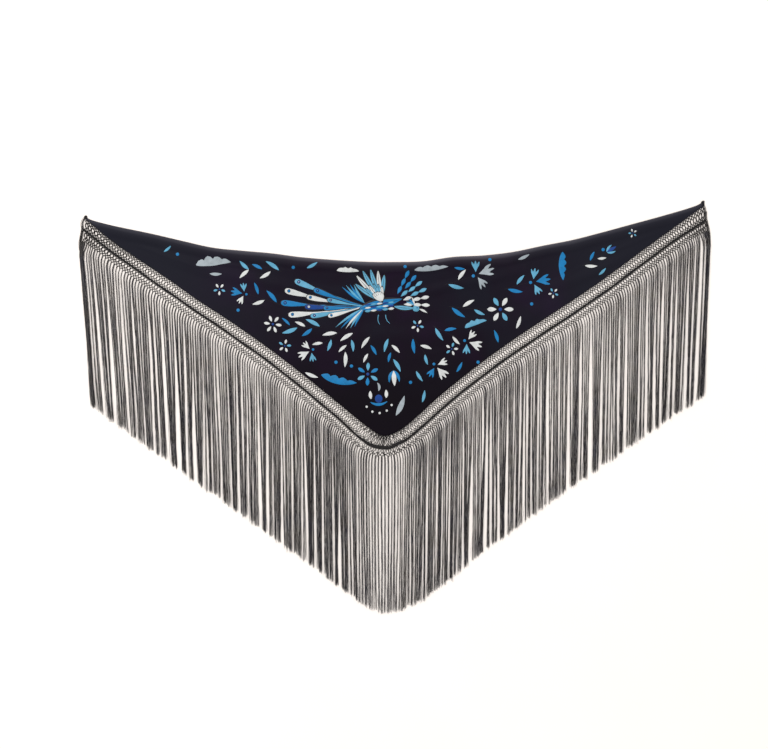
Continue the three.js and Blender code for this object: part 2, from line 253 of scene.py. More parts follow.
def into_cloth(s):
    """The direction from the cord into the cloth, turned nearly upright at both tips."""
    along = cord.along(s)
    turned = 1 - smoothstep(np.minimum(s, cord.length - s), 0, TIP["turn"])
    spread = np.where(s < cord.length / 2, TIP["spread"], -TIP["spread"])
    x = mix(-along[..., 1], spread, turned)
    y = mix(along[..., 0], 1 / along[..., 0], turned)
    return np.stack([x, y], axis=-1)


upper_widths = curve_through(UPPER_WIDTHS, 12)


def at_marks(s, table):
    """A table's value at the distance s along the cord."""
    return np.interp(s, *np.array(table, float).T)


def border(s, t):
    """A place on the border: s along the cord and t into the cloth, or out of it where t is negative."""
    s = np.clip(np.asarray(s, float), 0, cord.length)
    t = np.asarray(t, float)
    stretched = np.clip((t - NEAR_ROWS) / (DRAWN_WIDTH - NEAR_ROWS), 0, 1)
    t = t + (at_marks(s, upper_widths) - DRAWN_WIDTH) * stretched + at_marks(s, DRIFT)
    return cord.at(s) + into_cloth(s) * t[..., None]


def top_y(x):
    return np.interp(x, top_points[:, 0], top_points[:, 1])


net_edge = border(np.linspace(0, cord.length, 1500), np.full(1500, DRAWN_WIDTH))


def low_y(x):
    return np.interp(x, net_edge[:, 0], net_edge[:, 1])


def top_fold_height(depth):
    crest, height = TOP_FOLD["crest_depth"], TOP_FOLD["height"]
    rising = height * np.sin(np.pi / 2 * np.clip(depth / crest, 0, 1)) ** TOP_FOLD["steepness"]
    falling = height * hump((depth - crest) / (TOP_FOLD["reach"] - crest))
    return np.where(depth < crest, rising, falling)


def fold_height(x, depth, from_x, to_x, depths, height, reach):
    t = np.clip((x - from_x) / (to_x - from_x), 0, 1)
    start, middle, end = depths
    centre = mix(start, end, t) + 4 * (middle - (start + end) / 2) * t * (1 - t)
    return height * np.sin(np.pi * t) ** 0.6 * hump((depth - centre) / reach)


def crease_height(x, y, start, end, height, reach, bow):
    length = math.dist(start, end)
    ux, uy = (end[0] - start[0]) / length, (end[1] - start[1]) / length
    dx, dy = x - start[0], y - start[1]
    arch = np.sin(np.pi * np.clip((dx * ux + dy * uy) / length, 0, 1))
    return height * arch**0.8 * hump((dy * ux - dx * uy - bow * arch) / reach)


def waver(x, y, size, turns=5):
    """A slow uneven swell, from -1 to 1, that repeats nowhere in sight."""
    total = 0
    for k in range(turns):
        angle = 0.7 + 2.399 * k
        reach = size * (0.75 + 0.31 * k)
        total = total + np.sin((x * math.cos(angle) + y * math.sin(angle)) * 2 * np.pi / reach + 1.7 * k)
    return total / turns


def silk_height(x, y):
    """How high the silk's underside lies above the table."""
    depth = np.maximum(0, top_y(x) - y)
    above_net = np.maximum(0, y - low_y(x))
    room = smoothstep(depth + above_net, 0, TOP_FOLD["full_from"])
    inner = smoothstep(above_net, 0, SILK["edge_fade"])
    under_fold = smoothstep(depth, TOP_FOLD["clear_from"], TOP_FOLD["clear_at"])
    height = room * top_fold_height(depth) * (1 + 0.12 * waver(x, y, 160))
    height = height + inner * sum(fold_height(x, depth, **fold) for fold in FOLDS)
    height = height + inner * under_fold * sum(crease_height(x, y, *crease) for crease in CREASES)
    swell = 0.55 + 0.45 * waver(x, y, 150) + 0.14 * waver(x + 40, y, 46)
    return np.maximum(0.05, height + inner * under_fold * swell)


def silk_top(x, y):
    return silk_height(x, y) + SILK["top"]


def in_frame(points):
    """Drawing millimetres to metres in the shared frame."""
    placed = np.array(points, float)
    placed[..., :2] += ORIGIN
    return placed * MM


def make_mesh(name, points, faces, uvs):
    """A smooth mesh from points and a list of face arrays, each with its own number of corners."""
    mesh = bpy.data.meshes.new(name)
    flat = np.ascontiguousarray(in_frame(points).reshape(-1, 3), dtype=np.float32)
    mesh.vertices.add(len(flat))
    mesh.vertices.foreach_set("co", flat.ravel())
    corners = np.concatenate([f.ravel() for f in faces]).astype(np.int32)
    totals = np.concatenate([np.full(len(f), f.shape[1], np.int32) for f in faces])
    mesh.loops.add(len(corners))
    mesh.loops.foreach_set("vertex_index", corners)
    mesh.polygons.add(len(totals))
    mesh.polygons.foreach_set("loop_start", np.cumsum(totals, dtype=np.int32) - totals)
    mesh.polygons.foreach_set("loop_total", totals)
    mesh.polygons.foreach_set("use_smooth", np.full(len(totals), True))
    flat_uvs = np.concatenate([u.reshape(-1, 2) for u in uvs]).astype(np.float32)
    mesh.uv_layers.new(name="threads").data.foreach_set("uv", flat_uvs.ravel())
    mesh.update(calc_edges=True)
    mesh.validate()
    obj = bpy.data.objects.new(name, mesh)
    bpy.context.scene.collection.objects.link(obj)
    return obj


def dress(obj, material):
    obj.data.materials.clear()
    obj.data.materials.append(material)
    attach(obj, "root")
    return obj


# Materials


class Nodes:
    """A material's nodes, made and linked by name."""

    def __init__(self, name):
        self.material = bpy.data.materials.new(name)
        self.material.use_nodes = True
        self.tree = self.material.node_tree

    def feed(self, value, socket):
        """Sets a socket to a value, or links it to another node's socket."""
        if isinstance(value, bpy.types.NodeSocket):
            self.tree.links.new(value, socket)
        else:
            socket.default_value = value

    def node(self, kind, inputs, output=0, **settings):
        """Adds a node with these inputs and settings, and gives one of its outputs."""
        node = self.tree.nodes.new("ShaderNode" + kind)
        for key, value in settings.items():
            setattr(node, key, value)
        for key, value in inputs.items():
            self.feed(value, node.inputs[key])
        return node.outputs[output]

    def set_shader(self, **values):
        shader = self.tree.nodes["Principled BSDF"]
        for key, value in values.items():
            self.feed(value, shader.inputs[key.replace("_", " ")])
        return self.material

    def maths(self, operation, a, b=0.0):
        return self.node("Math", {0: a, 1: b}, operation=operation)

    def weighted(self, *parts):
        """The sum of values, each times its weight."""
        first, *rest = [self.maths("MULTIPLY", value, weight) for value, weight in parts]
        for part in rest:
            first = self.maths("ADD", first, part)
        return first

    def place(self, kind="Object"):
        return self.node("TexCoord", {}, kind)

    def split(self, vector):
        """The parts of a vector along X and Y."""
        return self.node("SeparateXYZ", {0: vector}).node.outputs[:2]

    def stretched(self, vector, scale):
        return self.node("Mapping", {"Vector": vector, "Scale": scale})

    def noise(self, vector, scale, detail=2.0, roughness=0.5):
        inputs = {"Vector": vector, "Scale": scale, "Detail": detail, "Roughness": roughness}
        return self.node("TexNoise", inputs, "Fac")

    def own_value(self, number):
        """A value of its own, from 0 to 1, for each whole number."""
        whole = self.maths("FLOOR", number)
        return self.node("TexWhiteNoise", {"W": whole}, "Value", noise_dimensions="1D")

    def ramp(self, fac, stops):
        """Colours, or levels of grey, at places along a value."""
        made = self.node("ValToRGB", {0: fac})
        ends = made.node.color_ramp.elements
        while len(ends) < len(stops):
            ends.new(0.5)
        for element, (place, colour) in zip(ends, stops):
            element.position = place
            element.color = (*(colour if isinstance(colour, tuple) else (colour,) * 3), 1.0)
        return made

    def blend(self, fac, a, b, kind="MIX"):
        inputs = {0: fac, 6: a, 7: (*b, 1.0) if isinstance(b, tuple) else b}
        return self.node("Mix", inputs, 2, data_type="RGBA", blend_type=kind)

    def spread(self, fac, low, high):
        return self.node("MapRange", {"Value": fac, "To Min": low, "To Max": high})

    def bump(self, height, strength, distance, **below):
        return self.node("Bump", {"Strength": strength, "Distance": distance, "Height": height, **below})


def linear(red, green, blue):
    """The surface colour that looks like this, from 0 to 255, in the scene's light."""
    parts = [c / 255 for c in (red, green, blue)]
    return tuple((c / 12.92 if c <= 0.04045 else ((c + 0.055) / 1.055) ** 2.4) / LIT for c in parts)


def shade(colour, factor):
    return tuple(min(1.0, c * factor) for c in colour)


def silk_material():
    m = Nodes("silk_crepe")
    place = m.place()
    colour = m.ramp(m.noise(place, 5.5, detail=3.0), [
        (0.35, linear(27, 26, 36)), (0.52, linear(27, 20, 32)), (0.68, linear(35, 18, 42)),
    ])
    aside, upwards = m.split(place)
    colour = m.blend(m.ramp(upwards, [(0.02, 1.0), (0.22, 0.0)]), colour, linear(20, 15, 22))
    near_tip = m.ramp(m.maths("ABSOLUTE", aside), [(0.22, 0.0), (0.58, 1.0)])
    colour = m.blend(near_tip, colour, linear(33, 33, 42))
    # Painted highlight: a pale band just below the top edge, strongest at the edge and fading out a few
    # centimetres down. It is uneven along its length and weaker near the tips, and stands in for the light
    # that the top fold's crest catches.
    below_edge = m.split(m.place("UV"))[1]
    painted_highlight_depth = m.maths("MULTIPLY", below_edge, m.spread(m.noise(place, 9.0), 0.7, 1.5))
    painted_highlight = m.ramp(painted_highlight_depth, [(0.0, 0.62), (0.14, 0.34), (0.34, 0.07), (0.8, 0.0)])
    painted_highlight = m.maths("MULTIPLY", painted_highlight, m.spread(near_tip, 1.0, 0.4))
    grain = m.noise(place, 1100.0, detail=2.0, roughness=0.6)
    ribs = m.noise(m.stretched(place, (1.0, 0.12, 1.0)), 900.0, detail=1.0)
    crinkle = m.noise(place, 60.0, detail=3.0, roughness=0.55)
    normal = m.bump(ribs, 0.25, 0.0003, Normal=m.bump(crinkle, 0.35, 0.0012))
    return m.set_shader(
        Base_Color=m.blend(painted_highlight, colour, linear(122, 120, 130)),
        Roughness=m.spread(m.noise(place, 14.0), 0.42, 0.56),
        Normal=m.bump(grain, 0.35, 0.0003, Normal=normal),
        Sheen_Weight=0.1,
        Sheen_Roughness=0.3,
        Sheen_Tint=(0.78, 0.72, 0.9, 1.0),
        Specular_IOR_Level=0.03,
    )


def yarn_material(name, *tones):
    """Twisted yarn: each yarn has its own shade, and its plies wind round it."""
    m = Nodes(name)
    along, across = m.split(m.place("UV"))
    fuzz = m.noise(m.place(), 420.0)
    bundle = m.maths("DIVIDE", across, YARNS_IN_BUNDLE)
    tone = m.weighted((m.own_value(across), 0.4), (fuzz, 0.25), (m.own_value(bundle), 0.35))
    plies = m.maths("SINE", m.weighted((along, 2.6), (across, 2 * math.pi)))
    stops = [(mix(0.12, 0.9, k / (len(tones) - 1)), linear(*rgb)) for k, rgb in enumerate(tones)]
    warm, cool = (1.0, 0.95, 0.86), (0.84, 0.87, 1.0)
    hue = m.ramp(m.noise(m.place(), 22.0, detail=3.0), [(0.36, warm), (0.5, 1.0), (0.64, cool)])
    return m.set_shader(
        Base_Color=m.blend(1.0, m.ramp(tone, stops), hue, "MULTIPLY"),
        Roughness=0.7,
        Normal=m.bump(plies, 0.5, 0.0003),
        Sheen_Weight=0.05,
        Sheen_Roughness=0.5,
        Specular_IOR_Level=0.2,
    )


def thread_material(name, *rgb):
    """Satin stitch: fine glossy threads side by side, with a soft change of tone from stitch to stitch."""
    m = Nodes(name)
    colour = linear(*rgb)
    threads = m.noise(m.stretched(m.place("UV"), (0.06, 2.4, 1.0)), 1.0)
    tone = m.weighted((threads, 0.65), (m.noise(m.place(), 60.0), 0.35))
    return m.set_shader(
        Base_Color=m.ramp(tone, [(0.3, shade(colour, 0.62)), (0.5, colour), (0.75, shade(colour, 1.18))]),
        Roughness=0.4,
        Normal=m.bump(threads, 0.6, 0.0004),
        Sheen_Weight=0.05,
        Sheen_Roughness=0.4,
        Specular_IOR_Level=0.22,
    )


def floor_material():
    m = Nodes("pale_table")
    place = m.place()
    return m.set_shader(
        Base_Color=m.ramp(m.noise(place, 3.0), [(0.3, FLOOR_COLOUR), (0.7, shade(FLOOR_COLOUR, 1.02))]),
        Roughness=0.85,
        Normal=m.bump(m.noise(place, 700.0), 0.05, 0.0002),
        Specular_IOR_Level=0.1,
    )


# The silk


def silk_grid():
    """Columns of points from the top edge down to the net, closest together at the top fold."""
    left, right = TOP_EDGE[0][0], TOP_EDGE[-1][0]
    x = np.arange(left + 1, right, SILK["spacing"])
    x = x[top_y(x) - low_y(x) > SILK["room"]]
    x = np.append(x, min(x[-1] + SILK["spacing"], right))[:, None]
    v = np.linspace(0, 1, SILK["rows"]) ** SILK["row_power"]
    under_net = 0.6
    return x + 0 * v, mix(top_y(x), low_y(x) - under_net, v)


def grid_faces(columns, rows):
    i, j = np.meshgrid(np.arange(columns - 1), np.arange(rows - 1), indexing="ij")
    a = (i * rows + j).ravel()
    return np.stack([a, a + 1, a + rows + 1, a + rows], axis=1)


def make_silk(material):
    x, y = silk_grid()
    points = np.stack([x, y, silk_top(x, y)], axis=-1)
    faces = grid_faces(*x.shape)
    # The silk's map gives the place across and the depth below the top edge, which set where the painted
    # highlight along the top fold falls.
    depth = np.stack([x / SILK["painted_highlight_depth"], (top_y(x) - y) / SILK["painted_highlight_depth"]], axis=-1)
    silk = make_mesh("silk", points, [faces], [depth.reshape(-1, 2)[faces]])
    thin = silk.modifiers.new("thickness", "SOLIDIFY")
    thin.thickness = SILK["thickness"] * MM
    thin.offset = -1
    dress(silk, material)
    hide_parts("cloth")
    return silk


# Yarns, knots and the net


def tubes(name, paths, radius, sides, flat=1.0, first=0):
    """Round yarns along paths of points, with a thread map: millimetres along, and yarn number plus turn."""
    yarns, steps, _ = paths.shape
    ahead = unit(np.gradient(paths, axis=1))
    aside = unit(np.cross(ahead, [0.0, 0.0, 1.0]))
    up = flat * np.cross(aside, ahead)
    angle = 2 * np.pi * (np.arange(sides) + 0.25)[:, None] / sides
    ring = aside[:, :, None] * np.cos(angle) + up[:, :, None] * np.sin(angle)
    points = paths[:, :, None] + np.broadcast_to(radius, (yarns, steps))[:, :, None, None] * ring

    y, j, k = np.meshgrid(np.arange(yarns), np.arange(steps - 1), np.arange(sides), indexing="ij")
    corners = [(j, k), (j, k + 1), (j + 1, k + 1), (j + 1, k)]
    walls = np.stack([(y * steps + row) * sides + side % sides for row, side in corners], axis=-1)
    marks = np.cumsum(np.linalg.norm(np.diff(paths, axis=1, prepend=paths[:, :1]), axis=2), axis=1)
    along = [marks[y, row] for row, _ in corners]
    turn = [first + y + 0.95 * side / sides for _, side in corners]
    wall_map = np.stack([np.stack(along, axis=-1), np.stack(turn, axis=-1)], axis=-1)

    base = np.arange(yarns)[:, None] * steps * sides
    around = np.arange(sides)
    caps = np.concatenate([base + around[::-1], base + (steps - 1) * sides + around])
    cap_map = np.zeros((yarns * 2, sides, 2))
    cap_map[..., 1] = first + np.tile(np.arange(yarns), 2)[:, None] + 0.5
    return make_mesh(name, points, [walls.reshape(-1, 4), caps], [wall_map, cap_map])


def bead_shape(rings=4, sides=6):
    """A small ball of one unit's radius: its points, its four-sided faces and its ends' three-sided ones."""
    turns = np.linspace(0, np.pi, rings + 1)[1:-1]
    around = 2 * np.pi * np.arange(sides) / sides
    middle = [
        (math.cos(t), math.sin(t) * math.cos(a), math.sin(t) * math.sin(a)) for t in turns for a in around
    ]
    points = np.array([(1, 0, 0), *middle, (-1, 0, 0)])
    here = np.arange(sides)
    after = (here + 1) % sides
    row = 1 + np.arange(rings - 2)[:, None] * sides
    quads = np.stack([row + here, row + after, row + sides + after, row + sides + here], axis=-1)
    last = 1 + (rings - 2) * sides
    first_end = np.stack([0 * here, 1 + after, 1 + here], axis=1)
    last_end = np.stack([last + here, last + after, 0 * here + len(points) - 1], axis=1)
    return points, quads.reshape(-1, 4), np.concatenate([first_end, last_end])


def beads(name, centres, along, size):
    """A ball at each centre, longest in the direction along, of the size (length, width, height)."""
    shape, *parts = bead_shape()
    number = np.arange(len(centres))[:, None, None]
    ahead = unit(raised(along, 0.0))
    aside = np.stack([-ahead[:, 1], ahead[:, 0], ahead[:, 2]], axis=1)
    up = np.broadcast_to([0.0, 0.0, 1.0], ahead.shape)
    half = np.broadcast_to(np.asarray(size, float) / 2, ahead.shape)
    axes = np.stack([ahead, aside, up], axis=1) * half[:, :, None]
    points = centres[:, None] + np.einsum("pk,nkc->npc", shape, axes)
    faces = [(number * len(shape) + part).reshape(-1, part.shape[1]) for part in parts]
    maps = []
    for part in parts:
        along_bead, turn = 2 * shape[part][..., 0], number + 0.5 + 0.2 * shape[part][..., 1]
        maps.append(np.stack(np.broadcast_arrays(along_bead, turn), axis=-1))
    return make_mesh(name, points, faces, maps)


def knot_places(row, rng):
    """The knots of one row: their distance along the cord and into the cloth."""
    t, phase = row
    number = np.arange(count) + phase
    number = number[(number > 0.1) & (number < count - 0.1)]
    s = repeat_place(number)
    near_point = np.exp(-(((s - point_s) / PAIRS["reach"]) ** 2))
    s = s + PAIRS["shift"] * near_point * np.where(number % 2 < 1, 1, -1)
    s = s + rng.normal(0, 0.2, len(s)) * (1 + 2.5 * near_point)
    return number, s, t + rng.normal(0, 0.25, len(s)) * (1 + 2 * near_point)


def net_cords(rows, rng, steps=6):
    """Each knot is tied to the two nearest knots of the next row. Long gaps have bowed sides."""
    placed = [knot_places(row, rng) for row in rows]
    paths, radii = [], []
    for (n0, s0, t0), (n1, s1, t1), row, after in zip(placed, placed[1:], rows, rows[1:]):
        long_gap = row[0] - after[0] > LONG_GAP
        for side in (-1, 1):
            target = n0 if long_gap else n0 + side / 2
            nearest = np.abs(n1[None, :] - target[:, None]).argmin(axis=1)
            kept = np.abs(n1[nearest] - target) < 0.1
            u = np.linspace(0, 1, steps)
            s = mix(s0[kept, None], s1[nearest[kept], None], u)
            t = mix(t0[kept, None], t1[nearest[kept], None], u)
            if long_gap:
                s = s + side * NET_CORD["bowed"] * pitch_at(s) * np.sin(np.pi * u) ** 0.4
            weight = at_marks(s.mean(axis=1, keepdims=True), NET_WEIGHTS)
            radius = NET_CORD["at_long_gap"] * weight**2 if long_gap else NET_CORD["radius"] * weight
            z = NET_CORD["lift"] + 0.45 * side * np.sin(np.pi * u) + 0.3 * (side + 1)
            z = np.maximum(z, 0.7 * radius + 0.05)
            paths.append(raised(border(s, t), z))
            radii.append(radius)
    return placed, np.concatenate(paths), np.concatenate(radii)


def make_net(name, rows, material, rng):
    placed, paths, radii = net_cords(rows, rng)
    cords = tubes(f"{name}_cords", paths, radii, NET_CORD["sides"], flat=0.85)
    s, t = (np.concatenate([places[k] for places in placed]) for k in (1, 2))
    size = np.array([KNOT["length"], KNOT["width"], KNOT["height"]]) * rng.uniform(0.85, 1.15, (len(s), 1))
    size[:, :2] *= np.sqrt(at_marks(s, NET_WEIGHTS))[:, None]
    centres = raised(border(s, t), KNOT["height"] / 2 + KNOT["lift"])
    knots = beads(f"{name}_knots", centres, cord.along(s), size)
    for obj in (cords, knots):
        dress(obj, material)
        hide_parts(f"{name}_left", f"{name}_right")
    return [cords, knots]


def make_dense_row(material, rng):
    """The dense row: a tight core under two rows of half hitches, which wander a little near the point."""
    pitch, height, flat = DENSE_ROW["bead_pitch"], DENSE_ROW["height"], DENSE_ROW["flat"]
    s = np.arange(0.6, cord.length, pitch)
    near_point = np.exp(-(((s - point_s) / DENSE_ROW["near_point"]) ** 2))
    wander = near_point * 1.3 * np.sin(s / 8.3) + 0.25 * np.sin(s / 21)
    half_width = DENSE_ROW["half_width"] * (1 + DENSE_ROW["at_point"] * near_point + 0.1 * np.sin(s / 13))
    radius = 0.9 * half_width
    path = raised(border(s, wander), np.maximum(height / 2, flat * radius + 0.1))
    core = tubes("dense_row_core", path[None], radius[None], 8, flat=flat)
    at = np.concatenate([s - 0.25 * pitch, s + 0.25 * pitch])
    t = np.concatenate([wander + side * half_width * 0.48 + rng.normal(0, 0.12, len(s)) for side in (-1, 1)])
    slant = cord.along(at)
    turned = slant + 0.5 * slant[:, ::-1] * (-1, 1)
    size = DENSE_ROW["bead"] * np.array([1.8, 1.35, 1.1])
    hitches = beads("dense_row_hitches", raised(border(at, t), height * 0.62), turned, size)
    for obj in (core, hitches):
        dress(obj, material)
        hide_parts("cord_row_left", "cord_row_right")
    return [core, hitches]


def make_end_bundle(side, material, rng):
    """The dark bundle that closes the net at a tip, and the lacing that ties it to the net."""
    line = Line(curve_through(END_BUNDLES[side], 12))
    yarns, pitch = END_BUNDLE["yarns"], END_BUNDLE["lacing_pitch"]
    ends = rng.uniform(END_BUNDLE["shortest"], 1, (yarns, 1))
    starts = END_BUNDLE["late"] * (np.arange(yarns)[:, None] % 2)
    s = starts + np.linspace(0, 1, 20) * (line.length * ends - starts)
    opened = END_BUNDLE["spread"] * (0.45 + 0.55 * smoothstep(s, 0, 14))
    across = np.linspace(-1, 1, yarns)[:, None] * opened + rng.normal(0, 0.3, (yarns, 1)) * np.sin(s / 9)
    z = 1.0 + rng.uniform(0, 1.6, (yarns, 1))
    bundle = tubes(f"end_bundle_{side}", beside(line, s, across, z), END_BUNDLE["radius"], 4)

    inwards = 1 if side == "left" else -1
    reach = END_BUNDLE["lacing_share"] * line.length
    s = np.arange(5, reach, pitch / 2)[None, :]
    out = np.arange(s.shape[1]) % 2
    depth = END_BUNDLE["lacing"] * (0.6 + 0.7 * smoothstep(s, 0.3 * reach, reach))
    turns = beside(line, s, inwards * depth * np.where(out, 1.0, 0.1), 1.2 + 0.5 * out)
    lacing = tubes(f"end_lacing_{side}", turns, NET_CORD["radius"], 5)
    return [dress(made, material) for made in (bundle, lacing)]


def beside(line, s, across, z):
    """Paths beside a line: across it by so much at each distance s, at the height z."""
    along = line.along(s)
    normal = np.stack([-along[..., 1], along[..., 0]], axis=-1)
    return raised(line.at(s) + normal * across[..., None], z)


def make_tip_knots(material):
    """The dark knot at each tip, where the top edge, the net and the end bundle meet."""
    at, along, size = (np.array([knot[key] for knot in TIP_KNOTS]) for key in ("at", "along", "size"))
    centres = raised(at, size[:, 2] / 2 + KNOT["lift"])
    return dress(beads("tip_knots", centres, along, size), material)


# The fringe


def bundle_roots():
    """Where the bundles leave the net: one for each repeat, and a dense few at both tips."""
    left, right = np.array(TIP_BUNDLES["left"]), np.array(TIP_BUNDLES["right"])
    number = np.concatenate([left, np.arange(2, count - 1), count - right[::-1]])
    return repeat_place(number)


def tip_share(x, side, reach):
    """How near x is to a tip: 1 at the tip and 0 from this reach on."""
    tip = CORD_LINE[0] if side == "left" else CORD_LINE[-1]
    return np.clip(1 - np.abs(x - tip[0]) / reach, 0, 1)


def gathered(x, rng):
    """How far each bundle is drawn aside lower down, so that neighbours close up and leave gaps."""
    shift = np.zeros(len(x))
    k = 0
    while k < len(x):
        size = int(rng.choice([1, 1, 2, 2, 3, 3, 4, 5]))
        group = slice(k, min(k + size, len(x)))
        shift[group] = (x[group].mean() - x[group]) * rng.uniform(0.15, 0.58) + rng.normal(0, 1.4)
        k += size
    shift += rng.normal(0, 1.2, len(x))
    outer = len(TIP_BUNDLES["left"])
    near_tip = np.minimum(np.arange(len(x)), np.arange(len(x))[::-1])
    return shift * smoothstep(near_tip, outer, 2 * outer)


def drawn_aside(s):
    """How far the few bundles next to a tip's dense ones lie aside."""
    aside = np.zeros(len(s))
    outer = len(TIP_BUNDLES["left"])
    few = slice(outer, outer + len(DRAWN_IN["left"]))
    if s[0] < point_s:
        aside[few] = DRAWN_IN["left"]
    else:
        aside[::-1][few] = -np.array(DRAWN_IN["right"])
    return aside


def bundle_paths(s, rng):
    """The middle of each bundle: out of the net, over a bend and straight down to its cut end."""
    root = border(s, np.full(len(s), FRINGE["root"]))
    out = root - into_cloth(s) * FRINGE["out"]
    x, aside = root[:, 0], drawn_aside(s)
    lean = sum(tip_share(x, side, LEAN[f"{side}_reach"]) ** 2 * LEAN[side] for side in ("left", "right"))
    bow = tip_share(x, "right", BOW["reach"]) - tip_share(x, "left", BOW["reach"])
    bend_x = out[:, 0] + LEAN["at_bend"] * lean + BOW["bend"] * bow + 0.6 * aside
    bend = np.stack([bend_x, out[:, 1] - FRINGE["drop"]], axis=1)
    end_x = x + lean + BOW["end"] * bow + aside + gathered(x, rng)
    end = np.stack([end_x, at_marks(end_x, FRINGE_ENDS)], axis=1)
    return root, out, bend, end


def yarn_paths(s, rng):
    """Every yarn of every bundle, with its own small waves and its own cut end."""
    root, out, bend, end = (part[:, None] for part in bundle_paths(s, rng))
    u = np.linspace(0, 1, FRINGE["points"])
    bend_share = FRINGE["bend_share"]
    turn = np.clip(u / bend_share, 0, 1)[:, None]
    fall = np.clip((u - bend_share) / (1 - bend_share), 0, 1)
    corner = out * 0.75 + bend * 0.25 + (root - out) * 0.1
    curve = (1 - turn) ** 2 * root + 2 * turn * (1 - turn) * corner + turn**2 * bend
    straight = mix(bend, end, np.stack([fall**0.9, fall], axis=-1))
    middle = np.where(u[:, None] < bend_share, curve, straight)[:, None]

    bundle, yarn = (len(s), 1, 1), (len(s), YARNS_IN_BUNDLE, 1)
    fullness, at_top = (at_marks(s, table)[:, None, None] for table in (FULLNESS, FULLNESS_AT_TOP))
    width = fullness * np.clip(np.exp(rng.normal(0.0, 0.42, bundle)), 0.5, 2.1)
    ranks = np.concatenate([np.linspace(-1, 1, FRINGE["yarns"]), np.zeros(STRAYS["yarns"])])[:, None]
    own = (ranks + rng.uniform(-0.3, 0.3, yarn)) * FRINGE["bundle"] * width
    loose = (np.arange(YARNS_IN_BUNDLE) >= FRINGE["yarns"])[:, None]
    own = np.where(loose, rng.uniform(-1, 1, yarn) * STRAYS["spread"] * fullness, own)
    open_up = mix(at_top / fullness, 1, smoothstep(u, 0.08, 0.4))
    length = np.abs(end - bend)[..., 1:]
    wave = rng.uniform(28, 75, yarn)
    phase = rng.uniform(0, 2 * np.pi, yarn)
    crimp = rng.uniform(0.15, 0.75, yarn) * np.sin(2 * np.pi * fall * length / wave + phase)
    stray = rng.normal(0, 1.0, yarn) * smoothstep(u, 0.4, 1.0) * (rng.random(yarn) < 0.4) * 1.8
    slow = rng.normal(0, 0.9, bundle) * np.sin(np.pi * fall * rng.uniform(0.8, 2.2, bundle))
    frayed = rng.normal(0, np.where(loose, 3.0, 1.1), yarn) * smoothstep(u, 0.84, 1.0)
    cut = (rng.normal(0.5, 3.0, yarn) + rng.normal(0, 2.4, bundle)) * smoothstep(u, 0.5, 1.0)
    x = middle[..., 0] + own * open_up + crimp * smoothstep(u, 0.1, 0.3) + stray + slow + frayed
    y = middle[..., 1] + cut
    z = 0.6 + rng.uniform(0, FRINGE["thick"], yarn) * (0.55 + 0.45 * smoothstep(u, 0, 0.15))
    z = z + 0.3 * np.sin(2 * np.pi * u * rng.uniform(1, 4, yarn) + phase)
    z = np.maximum(z, FRINGE["radius"] + 0.1)
    return np.stack([x, y, z], axis=-1).reshape(-1, len(u), 3)


def make_fringe(side, s, first, material, rng):
    """One side's yarns, numbered from first on."""
    paths = yarn_paths(s, rng)
    sizes = [FRINGE["radius"]] * FRINGE["yarns"] + [STRAYS["radius"]] * STRAYS["yarns"]
    radius = np.tile(sizes, len(s))[:, None] * rng.uniform(0.8, 1.25, (len(paths), 1))
    ends = 1 - 0.3 * smoothstep(np.linspace(0, 1, paths.shape[1]), 0.93, 1.0)
    yarns = tubes(f"fringe_yarns_{side}", paths, radius * ends, FRINGE["sides"], first=first)
    dress(yarns, material)
    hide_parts(f"fringe_{side}")
    return yarns


# Embroidery


STITCH = dict(rise=0.7, rim=-0.25, layer=0.16, slant=52)
THREADS = dict(
    white=("thread_white", 222, 224, 222), grey=("thread_grey", 168, 178, 184),
    light=("thread_light_blue", 98, 170, 202), mid=("thread_mid_blue", 12, 124, 184),
    navy=("thread_navy", 6, 62, 138), stem=("thread_stem", 26, 20, 24),
)
patches = {}


def patch(colour, x, y, rise, threads):
    """A grid of places on the cloth, with its rise above it and its thread map, kept by colour."""
    points = np.stack([x, y, silk_top(x, y) + rise], axis=-1)
    patches.setdefault(colour, []).append((points, threads))


def make_stitches():
    """The raised patches of satin stitch, as one mesh for each colour."""
    made = []
    for colour, parts in sorted(patches.items()):
        points, faces, maps, base = [], [], [], 0
        for grid, threads in parts:
            cells = grid_faces(*grid.shape[:2])
            points.append(grid.reshape(-1, 3))
            maps.append(threads.reshape(-1, 2)[cells])
            faces.append(cells + base)
            base += grid.shape[0] * grid.shape[1]
        joined = [np.concatenate(part) for part in (points, faces, maps)]
        obj = make_mesh(f"stitches_{colour}", joined[0], [joined[1]], [joined[2]])
        made.append(dress(obj, thread_material(*THREADS[colour])))
    return made


def beyond(x, y, heading, reach):
    """The place at this reach from x, y along the heading, in degrees."""
    turn = math.radians(heading)
    return x + reach * math.cos(turn), y + reach * math.sin(turn)


def bent_line(x, y, heading, length, curl, u):
    """Places at the shares u of an arc that starts at x, y and turns by curl degrees over its length."""
    angle = np.radians(heading + curl * u)
    ahead = np.stack([np.cos(angle), np.sin(angle)])
    steps = (ahead[:, 1:] + ahead[:, :-1]) / 2 * (length * np.diff(u))
    xs, ys = np.array([[x], [y]]) + np.concatenate([np.zeros((2, 1)), np.cumsum(steps, axis=1)], axis=1)
    return xs, ys, *ahead


def dome(v):
    """How full a row of stitches is across it, from its middle at 0 to its rims at -1 and 1."""
    return np.sqrt(np.clip(1 - v**2, 0, 1))


